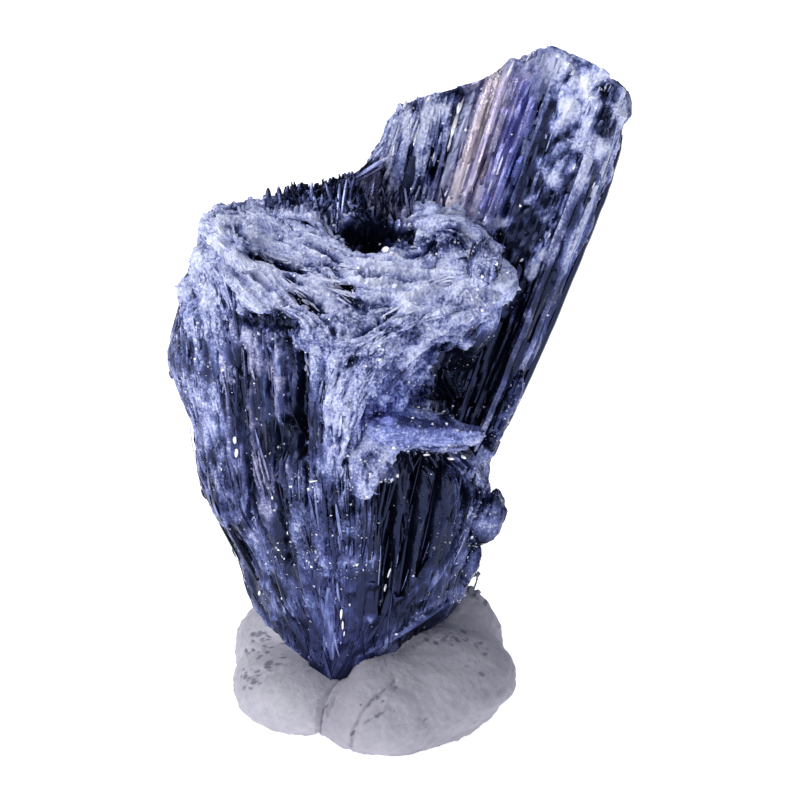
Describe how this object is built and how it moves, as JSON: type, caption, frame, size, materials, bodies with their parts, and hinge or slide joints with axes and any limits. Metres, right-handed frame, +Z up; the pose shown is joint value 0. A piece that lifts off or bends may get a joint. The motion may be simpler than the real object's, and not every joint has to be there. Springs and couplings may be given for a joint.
{
  "type": "stibnite crystal cluster",
  "caption": "Fibrous blue-black stibnite crystal cluster with a crusted front mass and a tall slanting rear blade, stood on its pointed foot in a lump of white mineral putty.",
  "frame": {"origin": "centre of the putty's flat underside, below the cluster's pointed foot", "axes": "+Z up along the tall cluster, -Y towards the crusted front ridge, +X towards the side that the rear blade leans to"},
  "size_m": [0.0329, 0.0184, 0.0479],
  "materials": {
    "stibnite": "striated metallic blue-black crystal under a pale blue-grey crust, with purple tarnish on the tall blade",
    "putty": "matt off-white mineral putty with small dents and crumbs"
  },
  "bodies": {
    "root": {"stibnite_cluster": "stibnite", "putty_base": "putty"}
  },
  "joints": []
}
